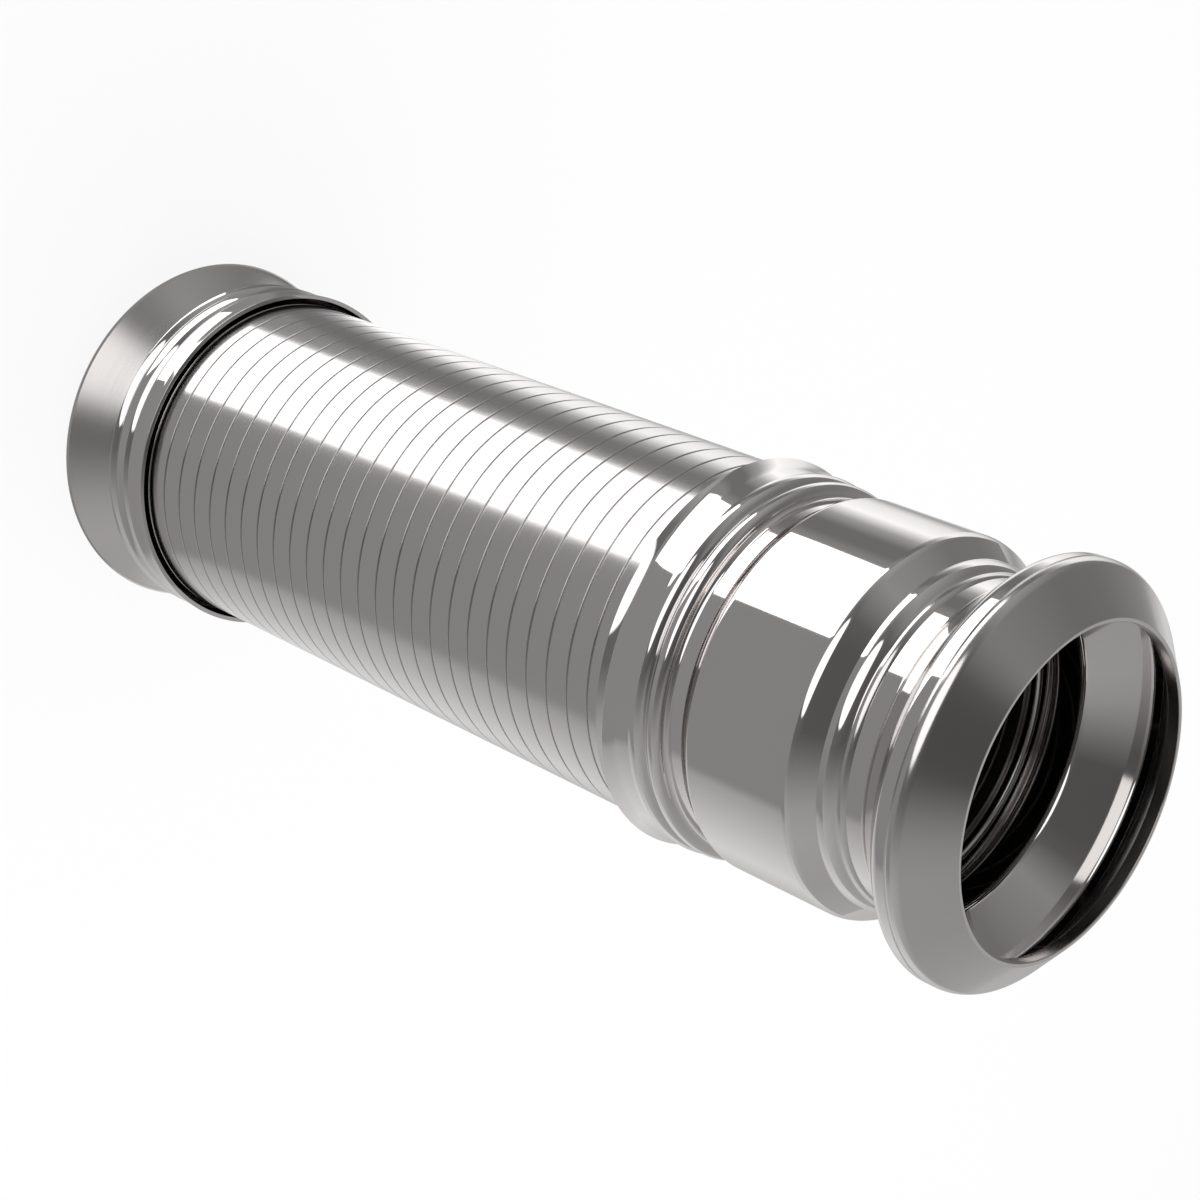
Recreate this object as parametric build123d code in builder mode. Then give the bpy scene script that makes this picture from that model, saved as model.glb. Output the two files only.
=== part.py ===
from build123d import *
from math import hypot, sqrt
import os

# Flexible exhaust pipe with two clamp flanges, millimetres.
# It stands on the rim of its inlet flare, with its axis along +Z.
# Every section is drawn with x as the radius and y as the height, and spun round the axis.

# Sheet thicknesses
FITTING_SHEET = 1.6
RING_SHEET = 1.2
SLEEVE_SHEET = 1.2
BELLOWS_SHEET = 0.5
LINER_WALL = 1.5
HOSE_WALL = 2.4

# Radii that everything else is built up from
FLANGE_RADIUS = 66.2
TUBE_RADIUS = 51.6
NECK_RADIUS = 51.6
MOUTH_RADIUS = 51.2

# Walls and spaces between one layer and the next
LINER_CUFF_WALL = 1.0
BELLOWS_WAVE_DEPTH = 3.3
MAT_SPACE = 2.2
MAT_CLEARANCE = 0.3
CUP_CLEARANCE = 1.6
COLLAR_CLEARANCE = 0.6
CAN_PROUD = 0.8
WELD_RING_WALL = 2.8
SLIDE_CLEARANCE = 0.1
MESH_WALL = 3.1

# Strip-wound hoses: both are wound at the same pitch
HOSE_PITCH = 9.07
HOSE_TURNS = 28
LINER_TURNS = 36
SEAM_WIDTH = 0.6
SEAM_DEPTH = 0.9
LINER_SEAM_DEPTH = 0.5

# Inlet: the flare, and the pressed cup with its two beads
TUBE_BEND = 5.0
CUP_GAP = 2.4
CUP_SEAT_LENGTH = 6.4
CUP_SEAT_BEND = 2.0
CUP_BACK_BEND = 0.6
CUP_FIRST_VALLEY = 2.9
CUP_BEAD_PITCH = 8.0
CUP_BEAD_PEAK = 1.4
CUP_BEAD_BEND = 4.2
CUP_VALLEY_DEPTH = 1.9
CUP_VALLEY_BEND = 1.0
CUP_BAND_RISE = 2.0
CUP_BAND_LENGTH = 4.9
CUP_BAND_BEND = 1.4
CUP_LIP_LENGTH = 3.1
CUP_LIP_RISE = 0.5
CUP_LIP_BEND = 3.0
HOSE_INSET = 18.46
TUBE_REACH = 10.54
LINER_GRIP = 18.0
LINER_CUFF_INSET = 2.0
LINER_CUFF_LENGTH = 14.0

# Bellows, and the rings that carry the ends of the outer hose
BELLOWS_WAVES = 28
BELLOWS_CUFF = 22.0
BELLOWS_RUNOUT = 2.0
WAVE_BEND_SHARE = 0.22
SUPPORT_SEAT = 7.5
SUPPORT_LIP = 9.0
SUPPORT_SETBACK = 2.0

# Outlet collar, measured along from the end of the outer hose
COLLAR_LAP = 10.2
COLLAR_FLARE_LENGTH = 2.9
COLLAR_FLARE_RISE = 1.4
COLLAR_FLARE_BEND = 10.0
COLLAR_BAND_REACH = 1.8
COLLAR_BAND_BEND = 3.0
FIRST_BEAD_REACH = 4.15
FIRST_BEAD_PEAK = 0.5
COLLAR_VALLEY_REACH = 5.6
COLLAR_VALLEY_LENGTH = 1.65
COLLAR_VALLEY_DEPTH = 1.9
COLLAR_VALLEY_BEND = 1.2
SECOND_BEAD_REACH = 10.5
SECOND_BEAD_PEAK = 1.4
COLLAR_BEAD_BEND = 2.2
TAIL_BAND_REACH = 11.95
TAIL_BAND_DEPTH = 3.0
TAIL_BAND_LENGTH = 8.0
TAIL_STEP_LENGTH = 0.9
TAIL_SEAT_LENGTH = 12.0
TAIL_BEND = 1.2

# Outlet sleeve, weld ring and mesh ring
SLEEVE_LAP = 5.92
SLEEVE_STEP_LENGTH = 5.0
SLEEVE_BEND = 3.0
SLEEVE_REACH = 3.7
SLEEVE_CURL = 1.9
SLEEVE_CURL_BEND = 0.9
WELD_RING_INSET = 1.0
WELD_RING_LENGTH = 8.0
MESH_INSET = 3.0
MESH_LENGTH = 7.0

# Outlet can and reducer
CAN_GAP = 3.2
CAN_LENGTH = 39.6
CAN_CONE_SLOPE = 0.86
CAN_BACK_BEND = 2.0
CAN_BEND = 4.8
CAN_MAT_GAP = 1.5
CAN_MAT_LENGTH = 16.0
REDUCER_INSET = 9.0
REDUCER_REACH = 9.5
REDUCER_STEP_LENGTH = 1.2
REDUCER_BEND = 4.0
REDUCER_BEND_LIMIT = 1.15
NECK_BEND = 0.8
NECK_BEND_LIMIT = 0.23
NECK_LENGTH = 2.0
WELD_WIDTH = 2.6
WELD_HEIGHT = 0.8

# Outlet flange: a spun back half and a turned front cone, welded at the rim
THROAT_LENGTH = 7.2
THROAT_BEND = 2.5
BACK_SLOPE = 1.096
RIM_BEND = 1.6
RIM_BACK_LENGTH = 3.7
RIM_FRONT_LENGTH = 3.3
CONE_SLOPE = 0.833
CONE_BEND = 3.5
MOUTH_LIP = 1.2
MOUTH_DEPTH = 4.0
EDGE_BREAK = 0.3

# Radii that follow, from the gas passage outwards
TUBE_BORE = TUBE_RADIUS - FITTING_SHEET
LINER_RADIUS = TUBE_BORE - LINER_CUFF_WALL
SLEEVE_BORE = LINER_RADIUS + SLIDE_CLEARANCE
SLEEVE_RADIUS = SLEEVE_BORE + SLEEVE_SHEET
REDUCER_BORE = SLEEVE_RADIUS + MESH_WALL
REDUCER_RADIUS = REDUCER_BORE + FITTING_SHEET
CUFF_RADIUS = TUBE_RADIUS + BELLOWS_SHEET
BELLOWS_CREST = CUFF_RADIUS + BELLOWS_WAVE_DEPTH
HOSE_BORE = BELLOWS_CREST + MAT_SPACE
HOSE_RADIUS = HOSE_BORE + HOSE_WALL
TAIL_SEAT_BORE = TUBE_RADIUS + WELD_RING_WALL
TAIL_SEAT_RADIUS = TAIL_SEAT_BORE + FITTING_SHEET
CAN_RADIUS = HOSE_RADIUS + CAN_PROUD

# Heights that follow, from the inlet up
CUP_SEAT = FLANGE_RADIUS - TUBE_RADIUS + CUP_GAP
CUP_BACK = CUP_SEAT + CUP_SEAT_LENGTH
HOSE_START = CUP_SEAT + HOSE_INSET
HOSE_END = HOSE_START + HOSE_TURNS * HOSE_PITCH
TUBE_END = HOSE_START + TUBE_REACH
LINER_START = TUBE_END - LINER_GRIP
LINER_END = LINER_START + LINER_TURNS * HOSE_PITCH
SLEEVE_START = HOSE_END - SLEEVE_LAP
BELLOWS_START = TUBE_END + BELLOWS_RUNOUT
BELLOWS_END = SLEEVE_START - BELLOWS_RUNOUT
TAIL_BAND = HOSE_END + TAIL_BAND_REACH
TAIL_SEAT = TAIL_BAND + TAIL_BAND_LENGTH + TAIL_STEP_LENGTH
WELD_RING_START = TAIL_SEAT + WELD_RING_INSET
SLEEVE_STEP = WELD_RING_START + WELD_RING_LENGTH + WELD_RING_INSET
SLEEVE_END = LINER_END + SLEEVE_REACH
CAN_START = TAIL_SEAT + CAN_GAP
CAN_SHOULDER = CAN_START + CAN_LENGTH
CAN_MAT_START = SLEEVE_STEP + SLEEVE_STEP_LENGTH + CAN_MAT_GAP
REDUCER_START = CAN_SHOULDER - REDUCER_INSET
REDUCER_SHOULDER = CAN_SHOULDER + REDUCER_REACH
NECK_JOINT = REDUCER_SHOULDER + REDUCER_STEP_LENGTH + NECK_LENGTH
THROAT_CORNER = NECK_JOINT + THROAT_LENGTH
RIM_CORNER = THROAT_CORNER + (FLANGE_RADIUS - NECK_RADIUS) * BACK_SLOPE
RIM_JOINT = RIM_CORNER + RIM_BACK_LENGTH
CONE_CORNER = RIM_JOINT + RIM_FRONT_LENGTH
PIPE_LENGTH = CONE_CORNER + (FLANGE_RADIUS - MOUTH_RADIUS - MOUTH_LIP) * CONE_SLOPE


def middle(outer, sheet=FITTING_SHEET):
    """Radius of the middle of a sheet whose outside is at outer."""
    return outer - sheet / 2


def plain_ring(bore, outer, start, length):
    """Section of a ring with a flat face at each end, inside a sketch."""
    with Locations((bore, start)):
        Rectangle(outer - bore, length, align=(Align.MIN, Align.MIN))


def wound_wall(outer, wall, start, turns, seam_depth):
    """Section of a strip-wound hose: a wall with the seams of its turns, inside a sketch."""
    plain_ring(outer - wall, outer, start, turns * HOSE_PITCH)
    with Locations([(outer, start + turn * HOSE_PITCH) for turn in range(1, turns)]):
        Rectangle(2 * seam_depth, SEAM_WIDTH, mode=Mode.SUBTRACT)
    with Locations([(outer - wall, start + (turn + 0.5) * HOSE_PITCH) for turn in range(turns)]):
        Rectangle(2 * seam_depth, SEAM_WIDTH, mode=Mode.SUBTRACT)


os.makedirs("parts", exist_ok=True)

# Inlet flare: one tube end spun out to a 45 degree cone and cut flat at its rim
flare_middle = FLANGE_RADIUS - FITTING_SHEET / sqrt(2)
with BuildPart() as inlet_flare:
    with BuildSketch(Plane.XZ):
        with BuildLine():
            FilletPolyline(
                (flare_middle + FITTING_SHEET, -FITTING_SHEET),
                (middle(TUBE_RADIUS), flare_middle - middle(TUBE_RADIUS)),
                (middle(TUBE_RADIUS), TUBE_END),
                radius=TUBE_BEND,
            )
        trace(line_width=FITTING_SHEET)
        with Locations((FLANGE_RADIUS, 0)):
            Rectangle(
                FLANGE_RADIUS, FLANGE_RADIUS, align=(Align.CENTER, Align.MAX), mode=Mode.SUBTRACT
            )
    revolve(axis=Axis.Z)
inlet_flare.part.label = "inlet_flare"
export_step(inlet_flare.part, "parts/inlet_flare.step")

# Inlet collar: seated on the tube, turned out to two rolled beads and an open mouth
cup_seat_line = middle(TUBE_RADIUS + FITTING_SHEET)
cup_line = HOSE_RADIUS + CUP_CLEARANCE + FITTING_SHEET / 2
cup_valley = cup_line - CUP_VALLEY_DEPTH
first_valley = CUP_BACK + CUP_FIRST_VALLEY
second_valley = first_valley + CUP_BEAD_PITCH
cup_band_end = second_valley + CUP_BAND_RISE + CUP_BAND_LENGTH
with BuildPart() as inlet_collar:
    with BuildSketch(Plane.XZ):
        with BuildLine():
            FilletPolyline(
                (cup_seat_line, CUP_SEAT),
                (cup_seat_line, CUP_BACK),
                (cup_line, CUP_BACK),
                (cup_valley, first_valley),
                (cup_line + CUP_BEAD_PEAK, first_valley + CUP_BEAD_PITCH / 2),
                (cup_valley, second_valley),
                (cup_line, second_valley + CUP_BAND_RISE),
                (cup_line, cup_band_end),
                (cup_line + CUP_LIP_RISE, cup_band_end + CUP_LIP_LENGTH),
                radius=[
                    CUP_SEAT_BEND, CUP_BACK_BEND, CUP_VALLEY_BEND, CUP_BEAD_BEND, CUP_VALLEY_BEND,
                    CUP_BAND_BEND, CUP_LIP_BEND,
                ],
            )
        trace(line_width=FITTING_SHEET)
    revolve(axis=Axis.Z)
inlet_collar.part.label = "inlet_collar"
export_step(inlet_collar.part, "parts/inlet_collar.step")

# Inlet support ring: seated on the bellows cuff, its lip carries the hose end
support_seat = middle(CUFF_RADIUS + RING_SHEET, RING_SHEET)
support_lip = middle(HOSE_BORE, RING_SHEET)
inlet_web = HOSE_START - SUPPORT_SETBACK
with BuildPart() as inlet_support_ring:
    with BuildSketch(Plane.XZ):
        with BuildLine():
            FilletPolyline(
                (support_seat, inlet_web - SUPPORT_SEAT),
                (support_seat, inlet_web),
                (support_lip, inlet_web),
                (support_lip, inlet_web + SUPPORT_LIP),
                radius=RING_SHEET,
            )
        trace(line_width=RING_SHEET)
    revolve(axis=Axis.Z)
inlet_support_ring.part.label = "inlet_support_ring"
export_step(inlet_support_ring.part, "parts/inlet_support_ring.step")

# Inlet liner cuff: fills the step between the tube's bore and the liner
with BuildPart() as inlet_liner_cuff:
    with BuildSketch(Plane.XZ):
        plain_ring(LINER_RADIUS, TUBE_BORE, LINER_START + LINER_CUFF_INSET, LINER_CUFF_LENGTH)
    revolve(axis=Axis.Z)
inlet_liner_cuff.part.label = "inlet_liner_cuff"
export_step(inlet_liner_cuff.part, "parts/inlet_liner_cuff.step")

# Liner hose: fixed in its cuff at the inlet and free to slide in the outlet sleeve
with BuildPart() as liner_hose:
    with BuildSketch(Plane.XZ):
        wound_wall(LINER_RADIUS, LINER_WALL, LINER_START, LINER_TURNS, LINER_SEAM_DEPTH)
    revolve(axis=Axis.Z)
liner_hose.part.label = "liner_hose"
export_step(liner_hose.part, "parts/liner_hose.step")

# Bellows: a thin tube rolled into round waves, with a plain cuff at each end
wave = (BELLOWS_END - BELLOWS_START) / BELLOWS_WAVES
wave_bend = wave * WAVE_BEND_SHARE
crest = middle(BELLOWS_CREST, BELLOWS_SHEET)
cuff = middle(CUFF_RADIUS, BELLOWS_SHEET)
wave_points = []
for number in range(BELLOWS_WAVES):
    foot = BELLOWS_START + number * wave
    wave_points += [(cuff, foot), (crest, foot + wave / 2)]
with BuildPart() as bellows:
    with BuildSketch(Plane.XZ):
        with BuildLine():
            FilletPolyline(
                (cuff, BELLOWS_START - BELLOWS_CUFF),
                *wave_points,
                (cuff, BELLOWS_END),
                (cuff, BELLOWS_END + BELLOWS_CUFF),
                radius=wave_bend,
            )
        trace(line_width=BELLOWS_SHEET)
    revolve(axis=Axis.Z)
bellows.part.label = "bellows"
export_step(bellows.part, "parts/bellows.step")

# Heat mat: needled fibre wrapped round the bellows, under the hose
with BuildPart() as heat_mat:
    with BuildSketch(Plane.XZ):
        plain_ring(
            BELLOWS_CREST + MAT_CLEARANCE,
            HOSE_BORE - MAT_CLEARANCE,
            BELLOWS_START,
            BELLOWS_END - BELLOWS_START,
        )
    revolve(axis=Axis.Z)
heat_mat.part.label = "heat_mat"
export_step(heat_mat.part, "parts/heat_mat.step")

# Outer hose: strip-wound steel, plain outside but for the seam of each turn
with BuildPart() as outer_hose:
    with BuildSketch(Plane.XZ):
        wound_wall(HOSE_RADIUS, HOSE_WALL, HOSE_START, HOSE_TURNS, SEAM_DEPTH)
    revolve(axis=Axis.Z)
outer_hose.part.label = "outer_hose"
export_step(outer_hose.part, "parts/outer_hose.step")

# Outlet support ring: the same pressing as at the inlet, turned round
outlet_web = HOSE_END + SUPPORT_SETBACK
with BuildPart() as outlet_support_ring:
    with BuildSketch(Plane.XZ):
        with BuildLine():
            FilletPolyline(
                (support_lip, outlet_web - SUPPORT_LIP),
                (support_lip, outlet_web),
                (support_seat, outlet_web),
                (support_seat, outlet_web + SUPPORT_SEAT),
                radius=RING_SHEET,
            )
        trace(line_width=RING_SHEET)
    revolve(axis=Axis.Z)
outlet_support_ring.part.label = "outlet_support_ring"
export_step(outlet_support_ring.part, "parts/outlet_support_ring.step")

# Outlet collar: a flared mouth over the hose end, a plain band, two beads and a stepped tail
collar_line = HOSE_RADIUS + COLLAR_CLEARANCE + FITTING_SHEET / 2
collar_mouth = HOSE_END - COLLAR_LAP
collar_valley = HOSE_END + COLLAR_VALLEY_REACH
tail_line = collar_line - TAIL_BAND_DEPTH
with BuildPart() as outlet_collar:
    with BuildSketch(Plane.XZ):
        with BuildLine():
            FilletPolyline(
                (collar_line + COLLAR_FLARE_RISE, collar_mouth),
                (collar_line, collar_mouth + COLLAR_FLARE_LENGTH),
                (collar_line, HOSE_END + COLLAR_BAND_REACH),
                (collar_line + FIRST_BEAD_PEAK, HOSE_END + FIRST_BEAD_REACH),
                (collar_line - COLLAR_VALLEY_DEPTH, collar_valley),
                (collar_line - COLLAR_VALLEY_DEPTH, collar_valley + COLLAR_VALLEY_LENGTH),
                (collar_line + SECOND_BEAD_PEAK, HOSE_END + SECOND_BEAD_REACH),
                (tail_line, TAIL_BAND),
                (tail_line, TAIL_BAND + TAIL_BAND_LENGTH),
                (middle(TAIL_SEAT_RADIUS), TAIL_SEAT),
                (middle(TAIL_SEAT_RADIUS), TAIL_SEAT + TAIL_SEAT_LENGTH),
                radius=[
                    COLLAR_FLARE_BEND, COLLAR_BAND_BEND, COLLAR_BEAD_BEND, COLLAR_VALLEY_BEND,
                    COLLAR_VALLEY_BEND, COLLAR_BEAD_BEND, TAIL_BEND, TAIL_BEND, TAIL_BEND,
                ],
            )
        trace(line_width=FITTING_SHEET)
    revolve(axis=Axis.Z)
outlet_collar.part.label = "outlet_collar"
export_step(outlet_collar.part, "parts/outlet_collar.step")

# Outlet sleeve: wide under the bellows cuff, stepped in to the liner and curled at its end
sleeve_wide = middle(TUBE_RADIUS, SLEEVE_SHEET)
sleeve_narrow = middle(SLEEVE_RADIUS, SLEEVE_SHEET)
curl_top = SLEEVE_END - SLEEVE_SHEET / 2
with BuildPart() as outlet_sleeve:
    with BuildSketch(Plane.XZ):
        with BuildLine():
            FilletPolyline(
                (sleeve_wide, SLEEVE_START),
                (sleeve_wide, SLEEVE_STEP),
                (sleeve_narrow, SLEEVE_STEP + SLEEVE_STEP_LENGTH),
                (sleeve_narrow, curl_top),
                (sleeve_narrow + SLEEVE_CURL, curl_top),
                (sleeve_narrow + SLEEVE_CURL, SLEEVE_END - SLEEVE_CURL - SLEEVE_SHEET),
                radius=[SLEEVE_BEND, SLEEVE_BEND, SLEEVE_CURL_BEND, SLEEVE_CURL_BEND],
            )
        trace(line_width=SLEEVE_SHEET)
    revolve(axis=Axis.Z)
outlet_sleeve.part.label = "outlet_sleeve"
export_step(outlet_sleeve.part, "parts/outlet_sleeve.step")

# Outlet weld ring: turned ring that joins the sleeve to the collar's tail
with BuildPart() as outlet_weld_ring:
    with BuildSketch(Plane.XZ):
        plain_ring(TUBE_RADIUS, TAIL_SEAT_BORE, WELD_RING_START, WELD_RING_LENGTH)
    revolve(axis=Axis.Z)
outlet_weld_ring.part.label = "outlet_weld_ring"
export_step(outlet_weld_ring.part, "parts/outlet_weld_ring.step")

# Outlet can: deep-drawn shell, seated on the collar's tail and coned in to the reducer
can_wall = middle(CAN_RADIUS)
can_back = CAN_START + FITTING_SHEET / 2
can_cone_run = can_wall - REDUCER_RADIUS + 2 * FITTING_SHEET
with BuildPart() as outlet_can:
    with BuildSketch(Plane.XZ):
        with BuildLine():
            FilletPolyline(
                (TAIL_SEAT_RADIUS, can_back),
                (can_wall, can_back),
                (can_wall, CAN_SHOULDER),
                (can_wall - can_cone_run, CAN_SHOULDER + can_cone_run * CAN_CONE_SLOPE),
                radius=[CAN_BACK_BEND, CAN_BEND],
            )
        trace(line_width=FITTING_SHEET)
        with Locations((REDUCER_RADIUS, CAN_SHOULDER)):
            Rectangle(REDUCER_RADIUS, REDUCER_RADIUS, align=(Align.MAX, Align.MIN), mode=Mode.SUBTRACT)
    revolve(axis=Axis.Z)
outlet_can.part.label = "outlet_can"
export_step(outlet_can.part, "parts/outlet_can.step")

# Outlet mat: fibre ring that fills the can round the sleeve
with BuildPart() as outlet_mat:
    with BuildSketch(Plane.XZ):
        plain_ring(
            SLEEVE_RADIUS + MAT_CLEARANCE,
            CAN_RADIUS - FITTING_SHEET - MAT_CLEARANCE,
            CAN_MAT_START,
            CAN_MAT_LENGTH,
        )
    revolve(axis=Axis.Z)
outlet_mat.part.label = "outlet_mat"
export_step(outlet_mat.part, "parts/outlet_mat.step")

# Outlet mesh ring: pressed wire that centres the sleeve in the reducer
with BuildPart() as outlet_mesh_ring:
    with BuildSketch(Plane.XZ):
        plain_ring(SLEEVE_RADIUS, REDUCER_BORE, REDUCER_START + MESH_INSET, MESH_LENGTH)
    revolve(axis=Axis.Z)
outlet_mesh_ring.part.label = "outlet_mesh_ring"
export_step(outlet_mesh_ring.part, "parts/outlet_mesh_ring.step")

# Outlet reducer: tube that leaves the can and rounds in to the neck
reducer_step = hypot(REDUCER_RADIUS - NECK_RADIUS, REDUCER_STEP_LENGTH)
reducer_bend = min(REDUCER_BEND, REDUCER_BEND_LIMIT * reducer_step)
neck_bend = min(NECK_BEND, NECK_BEND_LIMIT * reducer_step)
with BuildPart() as outlet_reducer:
    with BuildSketch(Plane.XZ):
        with BuildLine():
            FilletPolyline(
                (middle(REDUCER_RADIUS), REDUCER_START),
                (middle(REDUCER_RADIUS), REDUCER_SHOULDER),
                (middle(NECK_RADIUS), REDUCER_SHOULDER + REDUCER_STEP_LENGTH),
                (middle(NECK_RADIUS), NECK_JOINT),
                radius=[reducer_bend, neck_bend],
            )
        trace(line_width=FITTING_SHEET)
    revolve(axis=Axis.Z)
outlet_reducer.part.label = "outlet_reducer"
export_step(outlet_reducer.part, "parts/outlet_reducer.step")

# Neck weld: the bead that joins the reducer to the flange
with BuildPart() as neck_weld:
    with BuildSketch(Plane.XZ):
        with BuildLine():
            seam = ThreePointArc(
                (NECK_RADIUS, NECK_JOINT - WELD_WIDTH / 2),
                (NECK_RADIUS + WELD_HEIGHT, NECK_JOINT),
                (NECK_RADIUS, NECK_JOINT + WELD_WIDTH / 2),
            )
            Line(seam @ 1, seam @ 0)
        make_face()
    revolve(axis=Axis.Z)
neck_weld.part.label = "neck_weld"
export_step(neck_weld.part, "parts/neck_weld.step")

# Flange back: tube spun out from the neck to the rim
with BuildPart() as outlet_flange_back:
    with BuildSketch(Plane.XZ):
        with BuildLine():
            FilletPolyline(
                (middle(NECK_RADIUS), NECK_JOINT),
                (middle(NECK_RADIUS), THROAT_CORNER),
                (middle(FLANGE_RADIUS), RIM_CORNER),
                (middle(FLANGE_RADIUS), RIM_JOINT),
                radius=[THROAT_BEND, RIM_BEND],
            )
        trace(line_width=FITTING_SHEET)
    revolve(axis=Axis.Z)
outlet_flange_back.part.label = "outlet_flange_back"
export_step(outlet_flange_back.part, "parts/outlet_flange_back.step")

# Flange cone: turned ring that seats in the next pipe's flare
with BuildPart() as outlet_flange_cone:
    with BuildSketch(Plane.XZ):
        with BuildLine():
            FilletPolyline(
                (FLANGE_RADIUS - FITTING_SHEET, RIM_JOINT),
                (FLANGE_RADIUS, RIM_JOINT),
                (FLANGE_RADIUS, CONE_CORNER),
                (MOUTH_RADIUS + MOUTH_LIP, PIPE_LENGTH),
                (MOUTH_RADIUS, PIPE_LENGTH),
                (MOUTH_RADIUS, PIPE_LENGTH - MOUTH_DEPTH),
                (FLANGE_RADIUS - FITTING_SHEET, RIM_JOINT + FITTING_SHEET / 2),
                radius=[0, 0, CONE_BEND, EDGE_BREAK, EDGE_BREAK, EDGE_BREAK, EDGE_BREAK],
                close=True,
            )
        make_face()
    revolve(axis=Axis.Z)
outlet_flange_cone.part.label = "outlet_flange_cone"
export_step(outlet_flange_cone.part, "parts/outlet_flange_cone.step")
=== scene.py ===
import bpy
import bmesh
from math import ceil, pi, radians, sqrt, tan
from mathutils import Matrix, Vector


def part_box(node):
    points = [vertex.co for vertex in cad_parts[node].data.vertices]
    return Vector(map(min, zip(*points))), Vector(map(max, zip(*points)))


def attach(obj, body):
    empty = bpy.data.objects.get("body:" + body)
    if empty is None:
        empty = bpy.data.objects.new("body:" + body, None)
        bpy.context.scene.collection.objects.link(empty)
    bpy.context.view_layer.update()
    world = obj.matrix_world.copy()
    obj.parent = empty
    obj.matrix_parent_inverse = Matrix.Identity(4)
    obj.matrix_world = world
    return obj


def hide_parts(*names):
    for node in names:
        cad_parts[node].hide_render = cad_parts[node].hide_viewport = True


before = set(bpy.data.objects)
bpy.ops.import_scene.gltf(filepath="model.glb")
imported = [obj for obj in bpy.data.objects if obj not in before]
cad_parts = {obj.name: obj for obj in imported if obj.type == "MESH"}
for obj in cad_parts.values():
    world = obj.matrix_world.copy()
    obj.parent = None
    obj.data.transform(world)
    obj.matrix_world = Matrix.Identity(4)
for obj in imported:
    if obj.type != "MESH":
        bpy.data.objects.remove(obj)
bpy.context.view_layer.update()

# Inlet flare. The real piece is a stainless tube whose end is spun out to a 45 degree cone,
# so that a clamp ring pulls it onto the cone of the pipe before it.
# Its skin keeps faint rings from the spinning roller under a satin shine.
MM = 0.001
SPIN_STEPS = 256
BEND_STEP = radians(12)
RIM_SEGMENTS = 3
SHARP_TURN = radians(50)
PATCH_SIZE = 35.714
PATCH_SHINE = 0.15
PATCH_TONE = 0.94
LINE_SHINE = 0.12
DRAW_STRETCH = 0.02
FLARE_SHEET = 1.6
TUBE_RADIUS = 51.6
FLARE_BEND = 5.0
FLARE_RIM = 0.3
FLARE_STEEL = "#D9D6D4"
FLARE_ROUGHNESS = 0.25
FLARE_LINE = 0.5
FLARE_LINE_DEPTH = 0.0004


def reach(node):
    """Outer radius, lowest and highest height of a CAD node, in mm."""
    low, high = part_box(node)
    return high.x / MM, low.z / MM, high.z / MM


def new_object(name, bm):
    """Turns a bmesh to a mesh object in the scene."""
    mesh = bpy.data.meshes.new(name)
    bm.to_mesh(mesh)
    bm.free()
    made = bpy.data.objects.new(name, mesh)
    bpy.context.scene.collection.objects.link(made)
    return made


def spun_piece(name, outline, closed=False):
    """A piece made by spinning an outline round the pipe: radius, height and bend in mm."""
    bm = bmesh.new()
    places = [Vector((radius, 0, height)) for radius, height, bend in outline]
    corners = [bm.verts.new(place) for place in places]
    sides = list(zip(corners, corners[1:]))
    if closed:
        sides.append((corners[-1], corners[0]))
    for side in sides:
        bm.edges.new(side)
    for number, (radius, height, bend) in enumerate(outline):
        if bend:
            before, here, after = (places[(number + step) % len(places)] for step in (-1, 0, 1))
            turn = (here - before).angle(after - here)
            bmesh.ops.bevel(
                bm, geom=[corners[number]], affect="VERTICES", offset=bend * tan(turn / 2),
                offset_type="OFFSET", segments=max(2, ceil(turn / BEND_STEP)), profile=0.5,
                material=-1,
            )
    bmesh.ops.spin(
        bm, geom=bm.verts[:] + bm.edges[:], cent=(0, 0, 0), axis=(0, 0, 1), angle=2 * pi,
        steps=SPIN_STEPS, use_merge=True, use_duplicate=False,
    )
    bmesh.ops.recalc_face_normals(bm, faces=bm.faces[:])
    bmesh.ops.scale(bm, vec=(MM, MM, MM), verts=bm.verts[:])
    piece = new_object(name, bm)
    piece.data.shade_smooth()
    return piece


def even_shading(piece):
    """Lets the large faces set the shading, so that flat runs mirror straight."""
    weighted = piece.modifiers.new("even_shading", "WEIGHTED_NORMAL")
    weighted.keep_sharp = True


def sheet_wall(piece, sheet, rim):
    """Gives a spun centre line its sheet thickness and rounds the cut edges, both in mm."""
    wall = piece.modifiers.new("sheet", "SOLIDIFY")
    wall.thickness = sheet * MM
    wall.offset = 0
    wall.use_even_offset = True
    rounded = piece.modifiers.new("rim", "BEVEL")
    rounded.width = rim * MM
    rounded.segments = RIM_SEGMENTS
    rounded.limit_method = "ANGLE"
    rounded.angle_limit = SHARP_TURN
    even_shading(piece)


def linear(code):
    """Turns an sRGB hex colour to a linear one."""
    values = [int(code[place:place + 2], 16) / 255 for place in (1, 3, 5)]
    return [v / 12.92 if v <= 0.04045 else ((v + 0.055) / 1.055) ** 2.4 for v in values] + [1]


def add_node(material, kind, settings=None, inputs=None):
    """Adds a node. An input is a value, or the output socket of another node."""
    node = material.node_tree.nodes.new(kind)
    for name, value in (settings or {}).items():
        setattr(node, name, value)
    for name, value in (inputs or {}).items():
        if isinstance(value, bpy.types.NodeSocket):
            material.node_tree.links.new(value, node.inputs[name])
        else:
            node.inputs[name].default_value = value
    return node


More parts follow.
